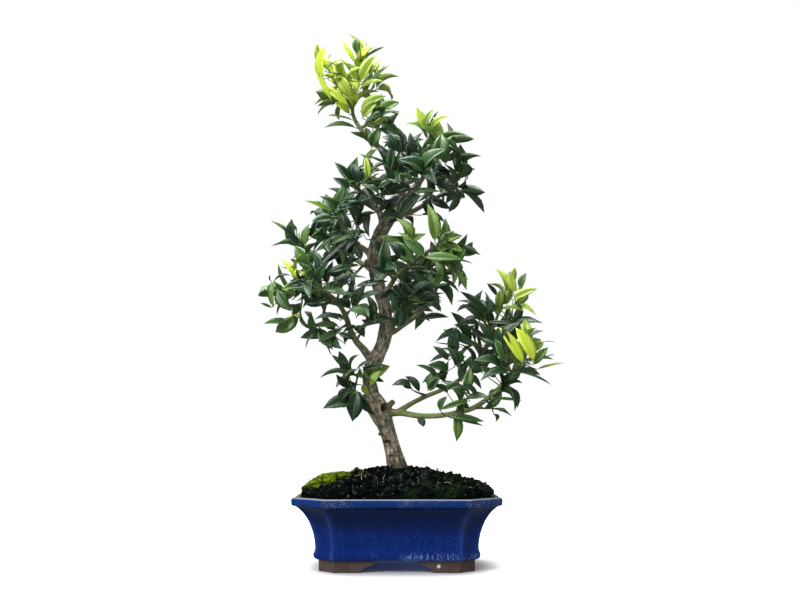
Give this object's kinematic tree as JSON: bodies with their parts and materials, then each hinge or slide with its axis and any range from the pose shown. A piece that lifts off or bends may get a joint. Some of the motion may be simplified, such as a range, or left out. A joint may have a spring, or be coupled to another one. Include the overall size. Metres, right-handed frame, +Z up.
{
  "type": "potted bonsai tree",
  "caption": "Myrtle-leaf orange tree grown as an upright bonsai with a curved trunk, layered leafy branches and a low right bough, in an eight-sided blue glazed pot on bracket feet.",
  "frame": {"origin": "on the table that the pot stands on, under the middle of the whole plant's bounding box", "axes": "+Z up, +X to the right of someone who faces the pot's long front side, -Y out of that side towards them"},
  "size_m": [0.2932, 0.1898, 0.549],
  "materials": {
    "pot_glaze": "glossy cobalt glaze over unglazed brown feet",
    "screen_plastic": "matt moulded mesh",
    "soil": "dark crumbly growing mix",
    "moss": "short soft tufts",
    "bark": "grey brown bark with shallow ridges",
    "leaf_dark": "glossy dark green leaf",
    "leaf_mid": "glossy mid green leaf",
    "leaf_young": "satin yellow green new leaf"
  },
  "bodies": {
    "root": {"pot": "pot_glaze", "drain_screen_left": "screen_plastic", "drain_screen_right": "screen_plastic", "soil": "soil", "moss": "moss", "tree": "bark", "spray_top": "leaf_young", "spray_top_left": "leaf_young", "spray_top_right": "leaf_young", "spray_top_low_right": "leaf_mid", "spray_crest_up": "leaf_mid", "spray_crest_bright": "leaf_mid", "spray_crest_left": "leaf_dark", "spray_crest_far": "leaf_dark", "spray_crest_front": "leaf_dark", "spray_crest_back": "leaf_mid", "spray_crest_fold": "leaf_dark", "spray_cap_tip": "leaf_dark", "spray_cap_front": "leaf_dark", "spray_cap_under": "leaf_dark", "spray_shelf_tip": "leaf_dark", "spray_shelf_low": "leaf_dark", "spray_shelf_front": "leaf_dark", "spray_shelf_far_back": "leaf_dark", "spray_wing_tall": "leaf_mid", "spray_wing_back": "leaf_dark", "spray_wing_far": "leaf_mid", "spray_wing_front": "leaf_dark", "spray_wing_rise": "leaf_dark", "spray_wing_inner": "leaf_dark", "spray_wing_drop": "leaf_dark", "spray_wing_trunk": "leaf_dark", "spray_wing_rear": "leaf_dark", "spray_wing_rear_in": "leaf_dark", "spray_knee_left": "leaf_dark", "spray_knee_bright": "leaf_young", "spray_arm_tip": "leaf_mid", "spray_arm_up": "leaf_mid", "spray_arm_long": "leaf_mid", "spray_arm_cross": "leaf_dark", "spray_arm_low": "leaf_dark", "spray_arm_rear": "leaf_dark", "spray_elbow_tip": "leaf_dark", "spray_elbow_in": "leaf_dark", "spray_elbow_back": "leaf_dark", "spray_heel_back": "leaf_dark", "spray_bough_top": "leaf_young", "spray_bough_left": "leaf_dark", "spray_bough_far_left": "leaf_dark", "spray_bough_right": "leaf_dark", "spray_bough_mid": "leaf_dark", "spray_bough_inner": "leaf_dark", "spray_bough_small": "leaf_dark", "spray_bough_bright": "leaf_young", "spray_bough_front": "leaf_dark", "spray_bough_low_right": "leaf_dark", "spray_bough_twig": "leaf_dark", "spray_bough_under": "leaf_mid", "spray_bough_rear": "leaf_dark", "spray_bough_rear_low": "leaf_dark"}
  },
  "joints": []
}
